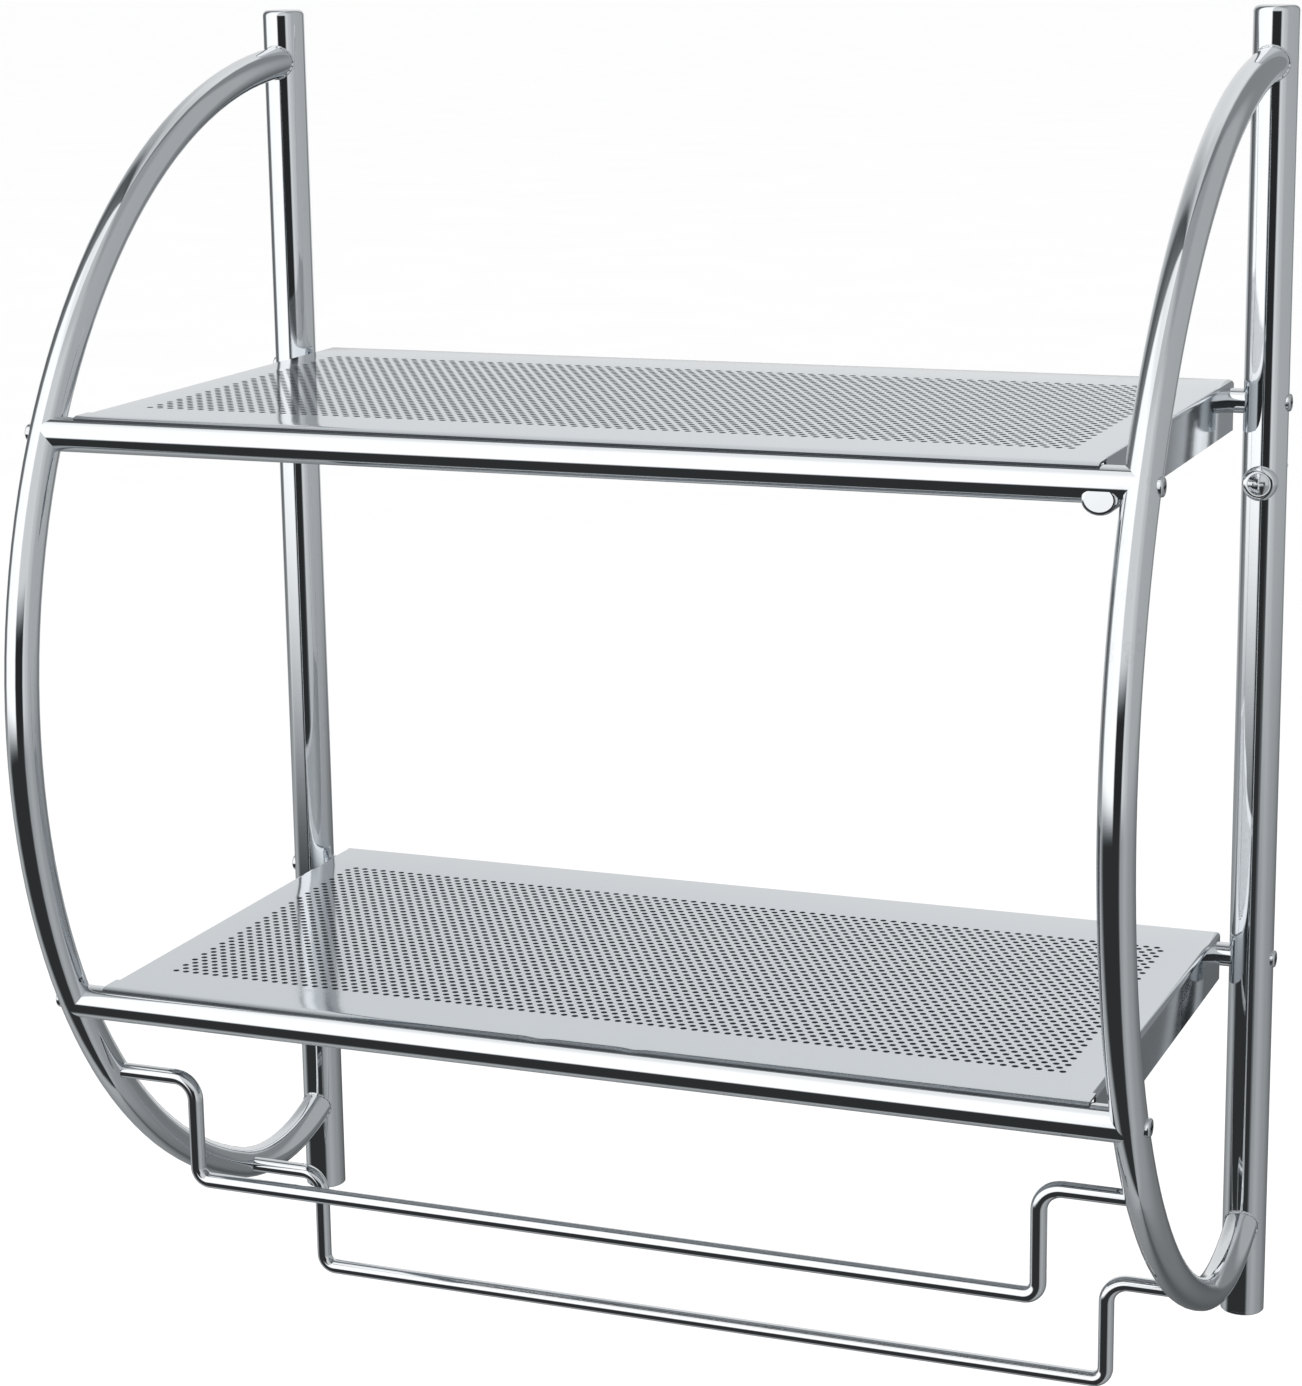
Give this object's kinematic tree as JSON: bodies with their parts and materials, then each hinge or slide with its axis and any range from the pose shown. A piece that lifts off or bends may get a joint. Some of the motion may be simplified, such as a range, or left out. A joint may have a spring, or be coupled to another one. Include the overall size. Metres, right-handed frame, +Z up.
{
  "type": "wall-mounted towel rack",
  "caption": "Wall-mounted tiered bathroom rack: D-shaped tube sides carry perforated metal shelves, with drop-bar towel rails hanging beneath.",
  "frame": {"origin": "midway between the wall screws, on the wall plane that both posts touch", "axes": "+X along the shelves to the right, +Y into the wall, +Z up"},
  "size_m": [0.5024, 0.3215, 0.6095],
  "materials": {
    "tube_chrome": "polished chrome plate on steel tube",
    "rail_chrome": "polished chrome plate on steel rod",
    "sheet_chrome": "chrome plate on perforated steel sheet",
    "cap_chrome": "polished chrome plate",
    "screw_steel": "chrome-plated screw heads",
    "zinc_steel": "zinc-plated steel"
  },
  "bodies": {
    "frame": {"left_post": "tube_chrome", "right_post": "tube_chrome", "left_arch": "tube_chrome", "right_arch": "tube_chrome", "upper_front_tube": "tube_chrome", "lower_front_tube": "tube_chrome", "upper_tube_lug": "tube_chrome", "upper_shelf_sheet": "sheet_chrome", "lower_shelf_sheet": "sheet_chrome", "left_post_top_cap": "cap_chrome", "right_post_top_cap": "cap_chrome", "left_post_foot_cap": "cap_chrome", "right_post_foot_cap": "cap_chrome", "left_wall_screw_cup": "cap_chrome", "right_wall_screw_cup": "cap_chrome", "upper_front_tube_inserts": "zinc_steel", "upper_rear_nuts": "zinc_steel", "upper_rear_spacers": "cap_chrome", "upper_front_screws": "screw_steel", "upper_rear_screws": "screw_steel", "lower_front_tube_inserts": "zinc_steel", "lower_rear_nuts": "zinc_steel", "lower_rear_spacers": "cap_chrome", "lower_front_screws": "screw_steel", "lower_rear_screws": "screw_steel", "left_wall_screw": "screw_steel", "right_wall_screw": "screw_steel"},
    "front_rail": {"front_towel_rail": "rail_chrome"},
    "rear_rail": {"rear_towel_rail": "rail_chrome"}
  },
  "joints": [
    {"name": "front_rail_swing", "type": "hinge", "parent": "frame", "child": "front_rail", "pos_m": [0, -0.21821, -0.262], "axis": [1, 0, 0], "range_deg": [-130, 150]},
    {"name": "rear_rail_swing", "type": "hinge", "parent": "frame", "child": "rear_rail", "pos_m": [0, -0.098, -0.35098], "axis": [1, 0, 0], "continuous": true}
  ]
}
